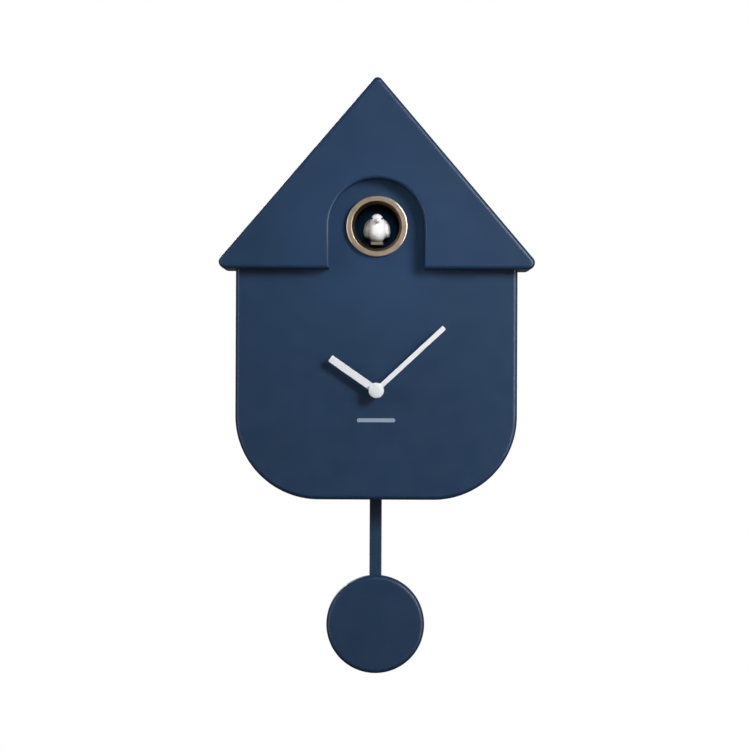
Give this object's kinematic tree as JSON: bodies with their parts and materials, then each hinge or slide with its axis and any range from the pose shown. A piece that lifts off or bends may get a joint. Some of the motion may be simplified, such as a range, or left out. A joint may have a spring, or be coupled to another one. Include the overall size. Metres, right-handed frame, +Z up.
{
  "type": "cuckoo wall clock",
  "caption": "House-shaped battery cuckoo wall clock with an arched roof moulding, a sliding bird in a round port, plain hands and a swinging disc pendulum.",
  "frame": {"origin": "on the wall plane, straight behind the shaft of the hands", "axes": "+Z up, +Y into the wall, so the front faces -Y, +X to the right as seen from the front"},
  "size_m": [0.2166, 0.085, 0.4103],
  "materials": {
    "case_blue": "fine moulded matte",
    "ring_gold": "polished, pale gold",
    "hand_white": "satin white",
    "bird_white": "satin white",
    "perch_brown": "matte grey-brown",
    "black_plastic": "matte",
    "gear_plastic": "satin",
    "steel": "plated",
    "brass": "turned",
    "copper_wire": "enamelled winding",
    "board_green": "solder mask",
    "speaker_paper": "coated paper",
    "cell_wrap": "plain printed film over a metal can"
  },
  "bodies": {
    "case": {"body_shell": "case_blue", "roof_shell": "case_blue", "rear_cover": "case_blue", "port_ring": "ring_gold", "bird_tunnel": "black_plastic", "cover_screw_1": "steel", "cover_screw_2": "steel", "cover_screw_3": "steel", "cover_screw_4": "steel", "cover_screw_5": "steel", "movement_front": "black_plastic", "movement_back": "black_plastic", "movement_screw_left": "steel", "movement_screw_right": "steel", "shaft_bush": "brass", "stator": "steel", "step_coil": "copper_wire", "quartz_board": "board_green", "pendulum_pivot": "steel", "drive_coil": "copper_wire", "cuckoo_frame": "black_plastic", "frame_screw_left": "steel", "frame_screw_right": "steel", "guide_rod_left": "steel", "guide_rod_right": "steel", "gear_axle": "steel", "cuckoo_motor": "steel", "battery_box": "black_plastic", "cell_1": "cell_wrap", "cell_2": "cell_wrap", "cell_3": "cell_wrap", "speaker_frame": "steel", "speaker_cone": "speaker_paper", "sound_board": "board_green"},
    "minute": {"minute_arbor": "brass", "minute_hand": "hand_white", "hand_cap": "hand_white"},
    "hour": {"hour_wheel": "gear_plastic", "hour_hand": "hand_white"},
    "minute_work": {"minute_wheel": "gear_plastic"},
    "setter": {"set_stem": "steel", "set_knob": "black_plastic"},
    "centre": {"centre_wheel": "gear_plastic"},
    "third": {"third_wheel": "gear_plastic"},
    "fourth": {"fourth_wheel": "gear_plastic"},
    "intermediate": {"intermediate_wheel": "gear_plastic"},
    "rotor": {"step_rotor": "steel"},
    "pendulum": {"pendulum_hanger": "black_plastic", "pendulum_magnet": "steel", "pendulum_rod": "case_blue", "bob_front": "case_blue", "bob_back": "case_blue", "bob_weight": "steel"},
    "cuckoo": {"bird_carriage": "perch_brown", "bird": "bird_white"},
    "cuckoo_gear": {"drive_gear": "gear_plastic"},
    "cuckoo_pinion": {"motor_pinion": "brass"},
    "door": {"battery_door": "case_blue"},
    "slider": {"volume_slider": "black_plastic"},
    "button": {"test_button": "black_plastic"}
  },
  "joints": [
    {"name": "minute_turn", "type": "hinge", "parent": "case", "child": "minute", "pos_m": [0, 0, 0], "axis": [0, 1, 0], "continuous": true},
    {"name": "hour_turn", "type": "hinge", "parent": "case", "child": "hour", "pos_m": [0, 0, 0], "axis": [0, 1, 0], "continuous": true},
    {"name": "minute_wheel_turn", "type": "hinge", "parent": "case", "child": "minute_work", "pos_m": [0.012, 0, 0], "axis": [0, 1, 0], "continuous": true},
    {"name": "setting_turn", "type": "hinge", "parent": "case", "child": "setter", "pos_m": [0.0255, 0, 0], "axis": [0, 1, 0], "continuous": true},
    {"name": "rotor_turn", "type": "hinge", "parent": "case", "child": "rotor", "pos_m": [-0.02351, 0, 0.00353], "axis": [0, 1, 0], "continuous": true},
    {"name": "intermediate_turn", "type": "hinge", "parent": "case", "child": "intermediate", "pos_m": [-0.02351, 0, -0.00241], "axis": [0, 1, 0], "continuous": true},
    {"name": "fourth_turn", "type": "hinge", "parent": "case", "child": "fourth", "pos_m": [-0.01591, 0, -0.00241], "axis": [0, 1, 0], "continuous": true},
    {"name": "third_turn", "type": "hinge", "parent": "case", "child": "third", "pos_m": [-0.00935, 0, 0.0054], "axis": [0, 1, 0], "continuous": true},
    {"name": "centre_turn", "type": "hinge", "parent": "case", "child": "centre", "pos_m": [0, 0, 0], "axis": [0, 1, 0], "continuous": true},
    {"name": "pendulum_swing", "type": "hinge", "parent": "case", "child": "pendulum", "pos_m": [0, -0.045, 0.016], "axis": [0, 1, 0], "range_deg": [-7, 7]},
    {"name": "bird_slide", "type": "slide", "parent": "case", "child": "cuckoo", "axis": [0, -1, 0], "range_m": [0, 0.028]},
    {"name": "drive_gear_turn", "type": "hinge", "parent": "case", "child": "cuckoo_gear", "pos_m": [0.0273, -0.037, 0.0915], "axis": [0, 0, 1], "range_deg": [0, 335]},
    {"name": "motor_turn", "type": "hinge", "parent": "case", "child": "cuckoo_pinion", "pos_m": [0.0411, -0.037, 0.0915], "axis": [0, 0, 1], "range_deg": [-1206, 0]},
    {"name": "door_hinge", "type": "hinge", "parent": "case", "child": "door", "pos_m": [-0.0545, -0.00125, -0.0295], "axis": [-1, 0, 0], "range_deg": [0, 110]},
    {"name": "volume_slide", "type": "slide", "parent": "case", "child": "slider", "axis": [1, 0, 0], "range_m": [-0.004, 0.004]},
    {"name": "button_press", "type": "slide", "parent": "case", "child": "button", "axis": [0, -1, 0], "range_m": [0, 0.0015], "stiffness_N_per_m": 300, "springref_m": -0.0005}
  ],
  "couplings": [
    {"joint": "hour_turn", "follows": "minute_turn", "ratio": 0.083333},
    {"joint": "minute_wheel_turn", "follows": "minute_turn", "ratio": -0.33333},
    {"joint": "setting_turn", "follows": "minute_turn", "ratio": 0.66667},
    {"joint": "intermediate_turn", "follows": "rotor_turn", "ratio": -0.125},
    {"joint": "fourth_turn", "follows": "rotor_turn", "ratio": 0.033333},
    {"joint": "third_turn", "follows": "rotor_turn", "ratio": -0.0044444},
    {"joint": "centre_turn", "follows": "rotor_turn", "ratio": 0.00055556},
    {"joint": "drive_gear_turn", "follows": "bird_slide", "rad_per_m": 208.33},
    {"joint": "motor_turn", "follows": "bird_slide", "rad_per_m": -750}
  ]
}
